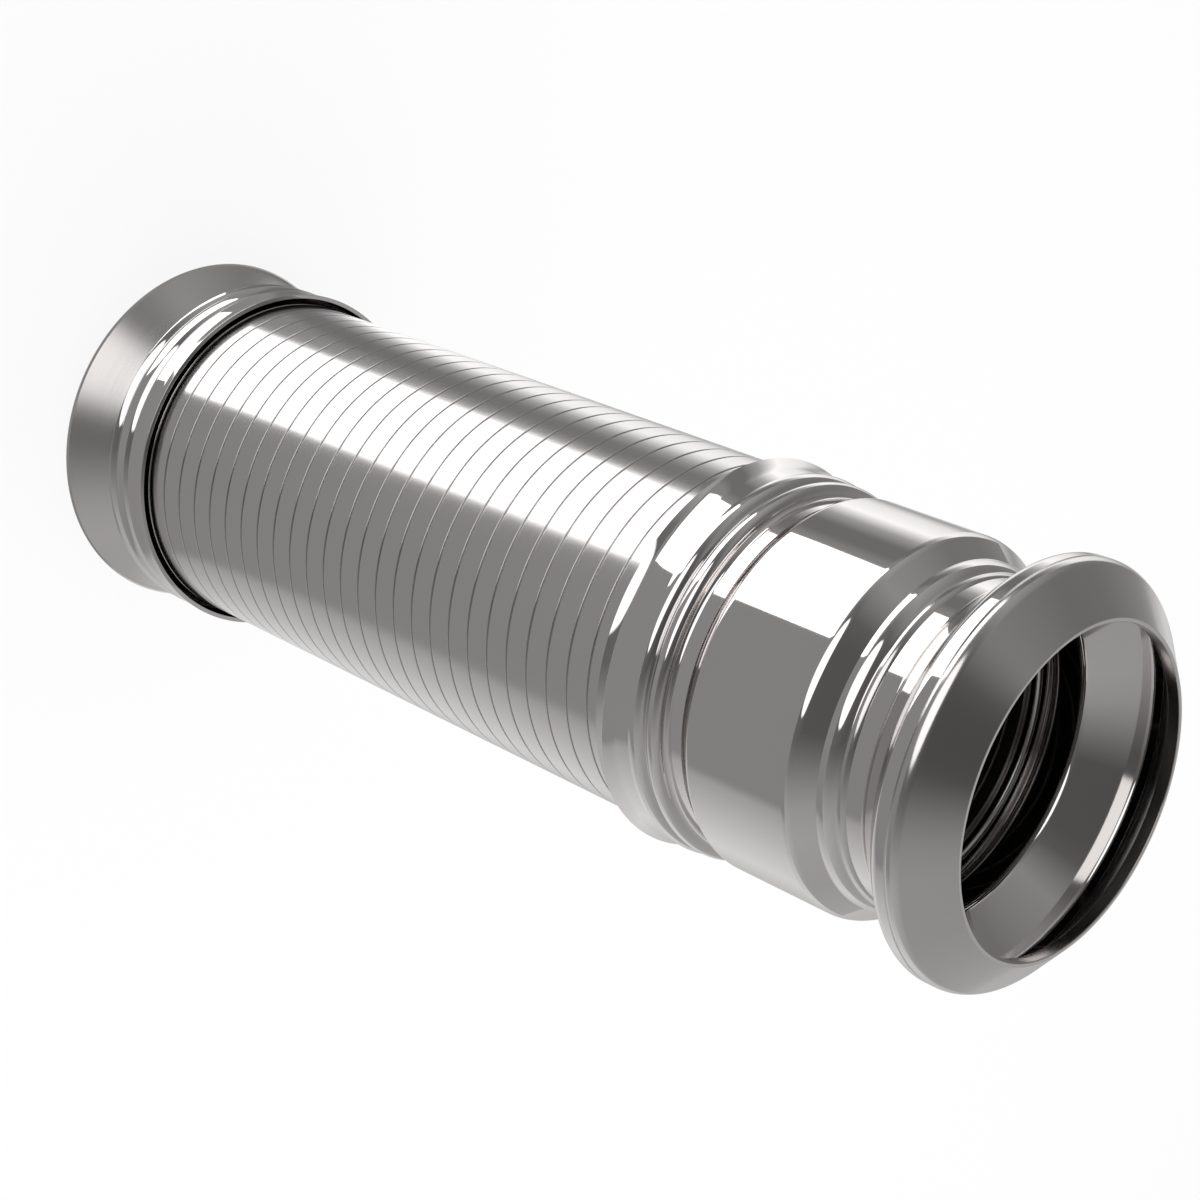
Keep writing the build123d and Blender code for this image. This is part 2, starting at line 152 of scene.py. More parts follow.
def steel(name, colour, roughness, line, line_depth, along_axis=False):
    """Bare steel with the marks of its making, as fine lines round the pipe or along it.

    The line spacing and depth are in mm, as is the size of the wide soft patches of handling,
    which change the shine and the tone a little.
    """
    material = bpy.data.materials.new(name)
    material.use_nodes = True
    shader = material.node_tree.nodes["Principled BSDF"]
    place = add_node(material, "ShaderNodeTexCoord").outputs["Object"]
    parts = add_node(material, "ShaderNodeSeparateXYZ", inputs={0: place})
    if along_axis:
        marks = add_node(
            material, "ShaderNodeVectorMath", {"operation": "MULTIPLY"},
            {0: place, 1: (1, 1, DRAW_STRETCH)},
        ).outputs[0]
    else:
        flat = add_node(
            material, "ShaderNodeCombineXYZ",
            inputs={"X": parts.outputs["X"], "Y": parts.outputs["Y"]},
        )
        radius = add_node(
            material, "ShaderNodeVectorMath", {"operation": "LENGTH"}, {0: flat.outputs[0]}
        )
        marks = add_node(
            material, "ShaderNodeCombineXYZ",
            inputs={"X": radius.outputs["Value"], "Y": parts.outputs["Z"]},
        ).outputs[0]
    lines = add_node(
        material, "ShaderNodeTexNoise",
        inputs={"Vector": marks, "Scale": 1 / (line * MM), "Detail": 2},
    ).outputs["Fac"]
    patches = add_node(
        material, "ShaderNodeTexNoise",
        inputs={"Vector": place, "Scale": 1 / (PATCH_SIZE * MM), "Detail": 3},
    ).outputs["Fac"]
    shine = add_node(
        material, "ShaderNodeMapRange",
        inputs={
            "Value": patches,
            "To Min": roughness * (1 - PATCH_SHINE), "To Max": roughness * (1 + PATCH_SHINE),
        },
    ).outputs[0]
    line_shine = add_node(
        material, "ShaderNodeMapRange",
        inputs={
            "Value": lines,
            "To Min": -LINE_SHINE * roughness, "To Max": LINE_SHINE * roughness,
        },
    ).outputs[0]
    whole = add_node(material, "ShaderNodeMath", {"operation": "ADD"}, {0: shine, 1: line_shine})
    material.node_tree.links.new(whole.outputs[0], shader.inputs["Roughness"])
    bright = linear(colour)
    tone = add_node(
        material, "ShaderNodeMix", {"data_type": "RGBA"},
        {"Factor": patches, "A": bright, "B": [part * PATCH_TONE for part in bright[:3]] + [1]},
    )
    material.node_tree.links.new(tone.outputs["Result"], shader.inputs["Base Color"])
    relief = add_node(
        material, "ShaderNodeBump",
        inputs={"Strength": 1.0, "Distance": line_depth * MM, "Height": lines},
    )
    material.node_tree.links.new(relief.outputs[0], shader.inputs["Normal"])
    shader.inputs["Metallic"].default_value = 1.0
    return material


def fit(piece, node, material):
    """Sets a finished piece in the place of its CAD node."""
    piece.data.materials.append(material)
    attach(piece, "root")
    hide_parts(node)


rim_radius, rim_height, tube_end = reach("inlet_flare")
flare_bore = TUBE_RADIUS - FLARE_SHEET
flare_wall = FLARE_SHEET * sqrt(2)
inlet_flare = spun_piece(
    "inlet_flare_spun",
    [
        (rim_radius, rim_height, FLARE_RIM),
        (TUBE_RADIUS, rim_radius - TUBE_RADIUS, FLARE_BEND - FLARE_SHEET / 2),
        (TUBE_RADIUS, tube_end, FLARE_RIM),
        (flare_bore, tube_end, FLARE_RIM),
        (flare_bore, rim_radius - flare_wall - flare_bore, FLARE_BEND + FLARE_SHEET / 2),
        (rim_radius - flare_wall, rim_height, FLARE_RIM),
    ],
    closed=True,
)
even_shading(inlet_flare)
# Spun stainless: the roller leaves its rings close together, seen as a faint satin grain
spun_steel = steel("spun_stainless", FLARE_STEEL, FLARE_ROUGHNESS, FLARE_LINE, FLARE_LINE_DEPTH)
fit(inlet_flare, "inlet_flare", spun_steel)

# Inlet collar. A pressed steel cup that is welded to the tube by its narrow seat and stands
# open round the first turns of the hose. Two beads rolled round its back make it stiff.
# Pressing over a polished tool leaves it the shiniest skin on this end.
CUP_SHEET = 1.6
CUP_STEEL = "#E2DFDE"
CUP_ROUGHNESS = 0.05
CUP_LINE = 0.8
CUP_LINE_DEPTH = 0.0001
CUP_EDGE = 0.2
CUP_SEAT_LENGTH = 7.0
CUP_SEAT_BEND = 1.2
CUP_BACK_INSET = 0.14
CUP_BACK_DROP = 0.41
CUP_BACK_RUN = 1.13
CUP_BACK_BEND = 5.0
CUP_VALLEY_DEPTH = 1.74
CUP_VALLEY_BEND = 0.3
CUP_FIRST_VALLEY = 2.24
CUP_BEAD = 5.98
CUP_BEAD_PEAK = 2.11
CUP_BEAD_BEND = 4.9
CUP_SECOND_VALLEY = 9.72
CUP_BAND = 11.55
CUP_BAND_BEND = 2.2
CUP_LIP_LENGTH = 3.1
CUP_LIP_RISE = 0.5
CUP_LIP_BEND = 6.0
cup_outer, cup_seat, cup_mouth = reach("inlet_collar")
cup_wall = cup_outer - CUP_LIP_RISE
cup_inside = cup_wall - CUP_SHEET
cup_back = cup_seat + CUP_SEAT_LENGTH
cup_back_radius = cup_wall - CUP_BACK_INSET
cup_valley = cup_wall - CUP_VALLEY_DEPTH
inlet_collar = spun_piece(
    "inlet_collar_pressed",
    [
        (TUBE_RADIUS, cup_seat, CUP_EDGE),
        (TUBE_RADIUS + CUP_SHEET, cup_seat, CUP_EDGE),
        (TUBE_RADIUS + CUP_SHEET, cup_back, CUP_SEAT_BEND),
        (cup_back_radius, cup_back, 0),
        (cup_back_radius - CUP_BACK_DROP, cup_back + CUP_BACK_RUN, CUP_BACK_BEND),
        (cup_valley, cup_back + CUP_FIRST_VALLEY, CUP_VALLEY_BEND),
        (cup_wall + CUP_BEAD_PEAK, cup_back + CUP_BEAD, CUP_BEAD_BEND),
        (cup_valley, cup_back + CUP_SECOND_VALLEY, CUP_VALLEY_BEND),
        (cup_wall, cup_back + CUP_BAND, CUP_BAND_BEND),
        (cup_wall, cup_mouth - CUP_LIP_LENGTH, CUP_LIP_BEND),
        (cup_outer, cup_mouth, CUP_EDGE),
        (cup_inside + CUP_LIP_RISE, cup_mouth, CUP_EDGE),
        (cup_inside, cup_mouth - CUP_LIP_LENGTH, CUP_LIP_BEND),
        (cup_inside, cup_back + CUP_BAND + CUP_SHEET / 2, 0),
        (cup_valley - CUP_SHEET, cup_back + CUP_SECOND_VALLEY, CUP_SHEET),
        (cup_inside, cup_back + CUP_BEAD, CUP_SHEET),
        (cup_valley - CUP_SHEET, cup_back + CUP_SHEET, 0),
        (TUBE_RADIUS, cup_back + CUP_SHEET, CUP_EDGE),
    ],
    closed=True,
)
even_shading(inlet_collar)
# Pressed steel: near mirror, with hardly any drawing marks
pressed_steel = steel("pressed_stainless", CUP_STEEL, CUP_ROUGHNESS, CUP_LINE, CUP_LINE_DEPTH)
fit(inlet_collar, "inlet_collar", pressed_steel)

# Outer hose. Steel strip is rolled to an S section and wound so that each turn hooks into
# the last, which lets the hose bend. From outside only the seam of each turn shows.
# The strip keeps the fine satin grain of cold rolling.
HOSE_WALL = 2.4
HOSE_PITCH = 9.07
HOSE_SEAM = 0.6
HOSE_SEAM_DEPTH = 0.9
HOSE_EDGE = 0.3
HOSE_STEEL = "#DEDBDA"
HOSE_ROUGHNESS = 0.17
HOSE_LINE = 0.4
HOSE_LINE_DEPTH = 0.0004
hose_radius, hose_start, hose_end = reach("outer_hose")
hose_bore = hose_radius - HOSE_WALL
hose_outline = [(hose_bore, hose_start, HOSE_EDGE), (hose_radius, hose_start, HOSE_EDGE)]
for turn in range(1, round((hose_end - hose_start) / HOSE_PITCH)):
    seam = hose_start + turn * HOSE_PITCH
    hose_outline += [
        (hose_radius, seam - HOSE_SEAM / 2, HOSE_EDGE),
        (hose_radius - HOSE_SEAM_DEPTH, seam - HOSE_SEAM / 2, 0),
        (hose_radius - HOSE_SEAM_DEPTH, seam + HOSE_SEAM / 2, 0),
        (hose_radius, seam + HOSE_SEAM / 2, HOSE_EDGE),
    ]
hose_outline += [(hose_radius, hose_end, HOSE_EDGE), (hose_bore, hose_end, HOSE_EDGE)]
outer_hose = spun_piece("outer_hose_wound", hose_outline, closed=True)
even_shading(outer_hose)
# Cold-rolled strip: satin, with the grain along the strip and so round the hose
strip_steel = steel("rolled_strip_steel", HOSE_STEEL, HOSE_ROUGHNESS, HOSE_LINE, HOSE_LINE_DEPTH)
fit(outer_hose, "outer_hose", strip_steel)

# Outlet collar. One steel pressing: a mouth that flares over the hose end, a plain band,
# two beads rolled for stiffness and a stepped tail that slips into the can.
# It is as bright as the cup at the other end.
COLLAR_SHEET = 1.6
COLLAR_CLEARANCE = 0.6
COLLAR_FLARE_LENGTH = 3.1
COLLAR_FLARE_RISE = 1.9
COLLAR_FLARE_BEND = 12.8
COLLAR_BAND_END = 12.3
COLLAR_BAND_BEND = 3.0
FIRST_BEAD = 14.8
FIRST_BEAD_PEAK = 0.5
COLLAR_BEAD_BEND = 2.2
COLLAR_VALLEY = 16.6
COLLAR_VALLEY_LENGTH = 1.1
COLLAR_VALLEY_DEPTH = 2.4
COLLAR_VALLEY_BEND = 1.2
SECOND_BEAD = 21.4
SECOND_BEAD_PEAK = 1.4
TAIL_BAND = 22.9
TAIL_BAND_DEPTH = 4.7
TAIL_BAND_BEND = 2.6
TAIL_BAND_LENGTH = 6.1
TAIL_STEP_LENGTH = 0.4
TAIL_STEP_BEND = 0.5
TAIL_SEAT_RADIUS = 56.0
COLLAR_EDGE = 0.15
collar_mouth, collar_end = reach("outlet_collar")[1:]
collar_line = hose_radius + COLLAR_CLEARANCE + COLLAR_SHEET / 2
collar_valley = collar_line - COLLAR_VALLEY_DEPTH
tail_line = collar_line - TAIL_BAND_DEPTH
tail_seat_line = TAIL_SEAT_RADIUS - COLLAR_SHEET / 2
valley_start = collar_mouth + COLLAR_VALLEY
tail_start = collar_mouth + TAIL_BAND
tail_stop = tail_start + TAIL_BAND_LENGTH
outlet_collar = spun_piece(
    "outlet_collar_pressed",
    [
        (collar_line + COLLAR_FLARE_RISE, collar_mouth, 0),
        (collar_line, collar_mouth + COLLAR_FLARE_LENGTH, COLLAR_FLARE_BEND),
        (collar_line, collar_mouth + COLLAR_BAND_END, COLLAR_BAND_BEND),
        (collar_line + FIRST_BEAD_PEAK, collar_mouth + FIRST_BEAD, COLLAR_BEAD_BEND),
        (collar_valley, valley_start, COLLAR_VALLEY_BEND),
        (collar_valley, valley_start + COLLAR_VALLEY_LENGTH, COLLAR_VALLEY_BEND),
        (collar_line + SECOND_BEAD_PEAK, collar_mouth + SECOND_BEAD, COLLAR_BEAD_BEND),
        (tail_line, tail_start, TAIL_BAND_BEND),
        (tail_line, tail_stop, 0),
        (tail_seat_line, tail_stop + TAIL_STEP_LENGTH, TAIL_STEP_BEND),
        (tail_seat_line, collar_end, 0),
    ],
)
sheet_wall(outlet_collar, COLLAR_SHEET, COLLAR_EDGE)
fit(outlet_collar, "outlet_collar", pressed_steel)

# Outlet can. A deep-drawn steel shell round the sliding end of the liner, with its shoulder
# coned in to the reducer. It is polished after drawing.
CAN_SHEET = 1.6
CAN_STEEL = "#DFDCDA"
CAN_ROUGHNESS = 0.05
CAN_LINE = 0.8
CAN_LINE_DEPTH = 0.0001
CAN_BACK_REACH = 1.8
CAN_LENGTH = 38.6
CAN_BACK_BEND = 2.0
CAN_BEND = 3.7
CAN_CONE_SLOPE = 1.1
CAN_EDGE = 0.2
can_radius, can_start = reach("outlet_can")[:2]
can_line = can_radius - CAN_SHEET / 2
reducer_radius = reach("outlet_reducer")[0]
can_back = can_start - CAN_BACK_REACH + CAN_SHEET / 2
can_shoulder = can_start + CAN_LENGTH
cone_foot_radius = reducer_radius - CAN_SHEET / 2
cone_foot = can_shoulder + (can_line - cone_foot_radius) * CAN_CONE_SLOPE
outlet_can = spun_piece(
    "outlet_can_drawn",
    [
        (TAIL_SEAT_RADIUS, can_back, 0),
        (can_line, can_back, CAN_BACK_BEND),
        (can_line, can_shoulder, CAN_BEND),
        (cone_foot_radius, cone_foot, 0),
    ],
)
sheet_wall(outlet_can, CAN_SHEET, CAN_EDGE)
# Drawn steel: polished, with faint rings from the polishing wheel
drawn_steel = steel("drawn_stainless", CAN_STEEL, CAN_ROUGHNESS, CAN_LINE, CAN_LINE_DEPTH)
fit(outlet_can, "outlet_can", drawn_steel)

# Outlet sleeve. A thin steel tube that the liner's free end slides in. Its end is curled
# outwards, which is the bright ring seen deep in the mouth.
SLEEVE_SHEET = 1.2
SLEEVE_BORE = 49.1
SLEEVE_WIDE_LENGTH = 36.8
SLEEVE_STEP_LENGTH = 5.0
SLEEVE_BEND = 3.0
SLEEVE_CURL = 1.9
SLEEVE_CURL_BEND = 0.9
SLEEVE_EDGE = 0.2
SLEEVE_STEEL = "#CFCCCA"
SLEEVE_ROUGHNESS = 0.12
SLEEVE_LINE = 0.5
SLEEVE_LINE_DEPTH = 0.0002
sleeve_start, sleeve_end = reach("outlet_sleeve")[1:]
sleeve_wide = TUBE_RADIUS - SLEEVE_SHEET / 2
sleeve_slim = SLEEVE_BORE + SLEEVE_SHEET / 2
sleeve_step = sleeve_start + SLEEVE_WIDE_LENGTH
curl_top = sleeve_end - SLEEVE_SHEET / 2
outlet_sleeve = spun_piece(
    "outlet_sleeve_curled",
    [
        (sleeve_wide, sleeve_start, 0),
        (sleeve_wide, sleeve_step, SLEEVE_BEND),
        (sleeve_slim, sleeve_step + SLEEVE_STEP_LENGTH, SLEEVE_BEND),
        (sleeve_slim, curl_top, SLEEVE_CURL_BEND),
        (sleeve_slim + SLEEVE_CURL, curl_top, SLEEVE_CURL_BEND),
        (sleeve_slim + SLEEVE_CURL, curl_top - SLEEVE_CURL - SLEEVE_SHEET / 2, 0),
    ],
)
sheet_wall(outlet_sleeve, SLEEVE_SHEET, SLEEVE_EDGE)
# Drawn tube: bright, with close marks round it
sleeve_steel = steel(
    "sleeve_stainless", SLEEVE_STEEL, SLEEVE_ROUGHNESS, SLEEVE_LINE, SLEEVE_LINE_DEPTH
)
fit(outlet_sleeve, "outlet_sleeve", sleeve_steel)

# Liner hose. The inner strip-wound hose keeps the gas off the bellows. It is held at the inlet
# and slides at the outlet, where its end shows in the mouth.
LINER_WALL = 1.5
LINER_PITCH = 9.07
LINER_SEAM = 0.6
LINER_SEAM_DEPTH = 0.5
LINER_EDGE = 0.25
# The liner's darker grey is painted shade, standing in for the little light that reaches it deep in
# the bore
LINER_SHADED_STEEL = "#8E8984"
LINER_ROUGHNESS = 0.38
LINER_LINE = 0.5
LINER_LINE_DEPTH = 0.0005
liner_radius, liner_start, liner_end = reach("liner_hose")
liner_bore = liner_radius - LINER_WALL
liner_outline = [(liner_bore, liner_end, LINER_EDGE), (liner_radius, liner_end, LINER_EDGE)]
liner_outline += [(liner_radius, liner_start, LINER_EDGE), (liner_bore, liner_start, LINER_EDGE)]
for turn in range(round((liner_end - liner_start) / LINER_PITCH)):
    seam = liner_start + (turn + 0.5) * LINER_PITCH
    liner_outline += [
        (liner_bore, seam - LINER_SEAM / 2, LINER_EDGE / 2),
        (liner_bore + LINER_SEAM_DEPTH, seam - LINER_SEAM / 2, 0),
        (liner_bore + LINER_SEAM_DEPTH, seam + LINER_SEAM / 2, 0),
        (liner_bore, seam + LINER_SEAM / 2, LINER_EDGE / 2),
    ]
liner_hose = spun_piece("liner_hose_wound", liner_outline, closed=True)
even_shading(liner_hose)
# Strip steel painted a darker grey than the outer steel: painted shade for the dim inside of the
# bore
liner_shaded_steel = steel(
    "shade_darkened_strip_steel", LINER_SHADED_STEEL, LINER_ROUGHNESS, LINER_LINE, LINER_LINE_DEPTH
)
fit(liner_hose, "liner_hose", liner_shaded_steel)

# Outlet reducer. The tube that leaves the can and rounds in to the neck, welded into the can.
# It is spun and polished, so its shoulder mirrors the whole studio.
REDUCER_SHEET = 1.6
REDUCER_BEND = 4.5
REDUCER_STEP_LENGTH = 2.43
NECK_PROUD = 0.5
NECK_LENGTH = 1.6
NECK_BEND = 3.4
REDUCER_EDGE = 0.1
reducer_start, neck_joint = reach("outlet_reducer")[1:]
reducer_line = reducer_radius - REDUCER_SHEET / 2
neck_line = TUBE_RADIUS - REDUCER_SHEET / 2
lap_line = neck_line + NECK_PROUD
reducer_shoulder = neck_joint - NECK_LENGTH - REDUCER_STEP_LENGTH
outlet_reducer = spun_piece(
    "outlet_reducer_drawn",
    [
        (reducer_line, reducer_start, 0),
        (reducer_line, reducer_shoulder, REDUCER_BEND),
        (lap_line, reducer_shoulder + REDUCER_STEP_LENGTH, NECK_BEND),
        (lap_line, neck_joint, 0),
    ],
)
sheet_wall(outlet_reducer, REDUCER_SHEET, REDUCER_EDGE)
fit(outlet_reducer, "outlet_reducer", drawn_steel)

# Neck weld. A low bead laid by a torch on a turntable joins the reducer to the flange.
# Its ripples are fine and even.
WELD_STEEL = "#D3D0CE"
WELD_ROUGHNESS = 0.15
WELD_LINE = 0.4
WELD_LINE_DEPTH = 0.0006
WELD_ROOT = 0.3
WELD_PROUD = 0.2
WELD_SPREAD = 0.15
WELD_CREST = 1.95
WELD_FACE = 2.6
weld_radius, weld_start, weld_end = reach("neck_weld")
weld_root = TUBE_RADIUS - WELD_ROOT
weld_top = weld_radius + WELD_PROUD
neck_weld = spun_piece(
    "neck_weld_bead",
    [
        (weld_root, weld_start - WELD_SPREAD, 0),
        (weld_top, weld_start, WELD_SPREAD),
        (weld_top, weld_start + WELD_CREST, WELD_FACE),
        (weld_root, weld_end + WELD_SPREAD, 0),
    ],
    closed=True,
)
even_shading(neck_weld)
# Weld metal: a little duller than the sheets, with the torch's fine ripples
weld_steel = steel("weld_bead_steel", WELD_STEEL, WELD_ROUGHNESS, WELD_LINE, WELD_LINE_DEPTH)
fit(neck_weld, "neck_weld", weld_steel)

# Flange back. The neck tube is spun out to the rim, and is the back half of the hollow flange.
# It is stainless sheet, polished like the can, and welded to the cone round its rim.
FLANGE_SHEET = 1.6
THROAT_LENGTH = 8.0
THROAT_BEND = 3.4
RIM_BACK_LENGTH = 3.7
RIM_BEND = 3.0
FLANGE_EDGE = 0.02
back_radius, back_start, back_end = reach("outlet_flange_back")
back_line = back_radius - FLANGE_SHEET / 2
outlet_flange_back = spun_piece(
    "outlet_flange_back_spun",
    [
        (neck_line, back_start, 0),
        (neck_line, back_start + THROAT_LENGTH, THROAT_BEND),
        (back_line, back_end - RIM_BACK_LENGTH, RIM_BEND),
        (back_line, back_end, 0),
    ],
)
sheet_wall(outlet_flange_back, FLANGE_SHEET, FLANGE_EDGE)
fit(outlet_flange_back, "outlet_flange_back", drawn_steel)

# Flange cone. A turned steel ring whose 45 degree face seats in the next pipe's flare.
# The lathe leaves close fine rings on the cone.
CONE_STEEL = "#D9D6D4"
CONE_ROUGHNESS = 0.16
CONE_LINE = 0.35
CONE_LINE_DEPTH = 0.0003
MOUTH_RADIUS = 51.2
MOUTH_LIP = 1.2
MOUTH_DEPTH = 4.0
CONE_BEND = 4.3
CONE_EDGE = 0.3
RIM_FRONT_LENGTH = 3.15
cone_radius, cone_start, cone_top = reach("outlet_flange_cone")
cone_bore = cone_radius - FLANGE_SHEET
outlet_flange_cone = spun_piece(
    "outlet_flange_cone_turned",
    [
        (cone_bore, cone_start, 0),
        (cone_radius, cone_start, 0),
        (cone_radius, cone_start + RIM_FRONT_LENGTH, CONE_BEND),
        (MOUTH_RADIUS + MOUTH_LIP, cone_top, CONE_EDGE),
        (MOUTH_RADIUS, cone_top, CONE_EDGE),
        (MOUTH_RADIUS, cone_top - MOUTH_DEPTH, CONE_EDGE),
        (cone_bore, cone_start + FLANGE_SHEET / 2, CONE_EDGE),
    ],
    closed=True,
)
even_shading(outlet_flange_cone)
# Turned steel: fine close rings that blur what it mirrors
turned_steel = steel("turned_steel", CONE_STEEL, CONE_ROUGHNESS, CONE_LINE, CONE_LINE_DEPTH)
fit(outlet_flange_cone, "outlet_flange_cone", turned_steel)

# Inner steel. The bellows, the rings that carry the hose and the liner's cuff are thin
# stainless parts that never see daylight. They keep the grey of the mill.
INNER_STEEL = "#B4B1AE"
INNER_ROUGHNESS = 0.3
INNER_LINE = 0.5
INNER_LINE_DEPTH = 0.002


def dress(node, material):
    """Gives a CAD node that stays in sight its material."""
    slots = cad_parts[node].data.materials
    slots.clear()
    slots.append(material)


# Mill finish: even and dull, with the marks of the rolls
inner_steel = steel("mill_stainless", INNER_STEEL, INNER_ROUGHNESS, INNER_LINE, INNER_LINE_DEPTH)
for node in (
    "bellows", "inlet_support_ring", "outlet_support_ring", "inlet_liner_cuff", "outlet_weld_ring",
):
    dress(node, inner_steel)

# Mesh ring. Stainless wire is knitted and pressed to a springy ring, which centres the sleeve
# in the reducer and lets it slide. Its wires stand out as ridges along the pipe.
WIRE_STEEL = "#A7A39F"
WIRE_ROUGHNESS = 0.35
WIRE_PITCH = 0.8
WIRE_DEPTH = 0.2
wire_mesh = steel(
    "knitted_wire", WIRE_STEEL, WIRE_ROUGHNESS, WIRE_PITCH, WIRE_DEPTH, along_axis=True
)
dress("outlet_mesh_ring", wire_mesh)

# Heat mats. Needled glass fibre is wrapped round the bellows and packed in the can.
# It is a dull off-white felt with fibres that run every way.
FIBRE_LIGHT = "#D8D2C2"
FIBRE_DARK = "#A9A08C"
FIBRE_WIDTH = 0.5
FIBRE_ROUGHNESS = 0.9
fibre = bpy.data.materials.new("needled_glass_fibre")
fibre.use_nodes = True
fibre_shader = fibre.node_tree.nodes["Principled BSDF"]
fibre_place = add_node(fibre, "ShaderNodeTexCoord").outputs["Object"]
strands = add_node(
    fibre, "ShaderNodeTexNoise",
    inputs={"Vector": fibre_place, "Scale": 1 / (FIBRE_WIDTH * MM), "Detail": 4, "Distortion": 1.5},
).outputs["Fac"]
felt = add_node(
    fibre, "ShaderNodeMix", {"data_type": "RGBA"},
    {"Factor": strands, "A": linear(FIBRE_DARK), "B": linear(FIBRE_LIGHT)},
)
nap = add_node(
    fibre, "ShaderNodeBump",
    inputs={"Strength": 0.8, "Distance": FIBRE_WIDTH * MM, "Height": strands},
)
fibre.node_tree.links.new(felt.outputs["Result"], fibre_shader.inputs["Base Color"])
fibre.node_tree.links.new(nap.outputs[0], fibre_shader.inputs["Normal"])
fibre_shader.inputs["Roughness"].default_value = FIBRE_ROUGHNESS
for node in ("heat_mat", "outlet_mat"):
    dress(node, fibre)

# Floor. Plain and pale. The camera, mirrors and glass see it nearly white, and the rest of
# its light is real, so that the pipe's soft shadow stays on it.
FLOOR_SIZE = 8.0
FLOOR_GLOW = 0.86
FLOOR_TONE = "#E6E6E6"


def seen(owner):
    """1 where the camera, a mirror or glass looks at a material or world, and 0 elsewhere."""
    rays = add_node(owner, "ShaderNodeLightPath")
    by_mirror = add_node(
        owner, "ShaderNodeMath", {"operation": "MAXIMUM"},
        {0: rays.outputs["Is Camera Ray"], 1: rays.outputs["Is Glossy Ray"]},
    )
    by_glass = add_node(
        owner, "ShaderNodeMath", {"operation": "MAXIMUM"},
        {0: by_mirror.outputs[0], 1: rays.outputs["Is Transmission Ray"]},
    )
    return by_glass.outputs[0]


bm = bmesh.new()
bmesh.ops.create_grid(bm, x_segments=1, y_segments=1, size=FLOOR_SIZE / 2)
floor = new_object("floor", bm)
pale = bpy.data.materials.new("pale_floor")
pale.use_nodes = True
pale.node_tree.nodes.clear()
share = add_node(pale, "ShaderNodeMath", {"operation": "MULTIPLY"}, {0: seen(pale), 1: FLOOR_GLOW})
matt = add_node(pale, "ShaderNodeBsdfDiffuse", inputs={"Color": linear(FLOOR_TONE)})
glow = add_node(pale, "ShaderNodeEmission", inputs={"Color": (1, 1, 1, 1), "Strength": 1.0})
both = add_node(
    pale, "ShaderNodeMixShader",
    inputs={0: share.outputs[0], 1: matt.outputs[0], 2: glow.outputs[0]},
)
add_node(pale, "ShaderNodeOutputMaterial", inputs={"Surface": both.outputs[0]})
floor.data.materials.append(pale)

# Reflection cards. Bright metal shows what stands round it, so the studio has a ring of grey
# and white cards laid on the floor and a dark tent overhead. Only mirrors see them. Their
# sizes are in metres.
CARD_HEIGHT = 0.001
CARD_REACH = 3.4
CARD_STEPS = 96
RING_LEVELS = [
    (-180, 0.42), (-164, 0.78), (-150, 0.38), (-136, 1.0), (-118, 1.3), (-106, 0.45), (-96, 0.2),
    (-86, 0.2), (-80, 0.3), (70, 0.3), (76, 0.46), (90, 0.58), (108, 0.72), (128, 0.82),
    (148, 0.62), (166, 0.5), (180, 0.42),
]


def mirror_card(name, bm, material):
    """A card that only reflections see: it lights nothing and casts no shadow."""
    card = new_object(name, bm)
    card.data.materials.append(material)
    card.visible_camera = False
    card.visible_diffuse = False
    card.visible_shadow = False
    card.visible_transmission = False


def lit_cloth(name, level):
    """A white cloth lit from behind, with its light and its output node."""
    material = bpy.data.materials.new(name)
    material.use_nodes = True
    material.node_tree.nodes.clear()
    light = add_node(
        material, "ShaderNodeEmission", inputs={"Color": (1, 1, 1, 1), "Strength": level}
    )
    out = add_node(material, "ShaderNodeOutputMaterial", inputs={"Surface": light.outputs[0]})
    return material, light, out


def heading(material, parts):
    """The compass angle of a place round the pipe, from 0 to 1."""
    angle = add_node(
        material, "ShaderNodeMath", {"operation": "ARCTAN2"},
        {0: parts.outputs["Y"], 1: parts.outputs["X"]},
    )
    turn = add_node(
        material, "ShaderNodeMapRange",
        inputs={"Value": angle.outputs[0], "From Min": -pi, "From Max": pi},
    )
    return turn.outputs[0]


def set_stops(ramp, levels):
    """Gives a colour ramp its grey levels, each at its place from 0 to 1."""
    stops = ramp.color_ramp.elements
    while len(stops) > 1:
        stops.remove(stops[-1])
    for number, (place, level) in enumerate(levels):
        stop = stops[0] if number == 0 else stops.new(place)
        stop.position = place
        stop.color = (level, level, level, 1)


def round_the_pipe(levels):
    """Turns angles round the pipe, in degrees, to places on a ramp."""
    return [((angle + 180) / 360, level) for angle, level in levels]


ring_cloth, ring_light = lit_cloth("ring_of_cards", 1.0)[:2]
ring_place = add_node(ring_cloth, "ShaderNodeTexCoord").outputs["Object"]
ring_parts = add_node(ring_cloth, "ShaderNodeSeparateXYZ", inputs={0: ring_place})
ring_grey = add_node(
    ring_cloth, "ShaderNodeValToRGB", inputs={0: heading(ring_cloth, ring_parts)}
)
set_stops(ring_grey, round_the_pipe(RING_LEVELS))
ring_cloth.node_tree.links.new(ring_grey.outputs[0], ring_light.inputs["Color"])
bm = bmesh.new()
bmesh.ops.create_circle(
    bm, cap_ends=True, radius=CARD_REACH, segments=CARD_STEPS,
    matrix=Matrix.Translation((0, 0, CARD_HEIGHT)),
)
mirror_card("ring_card", bm, ring_cloth)

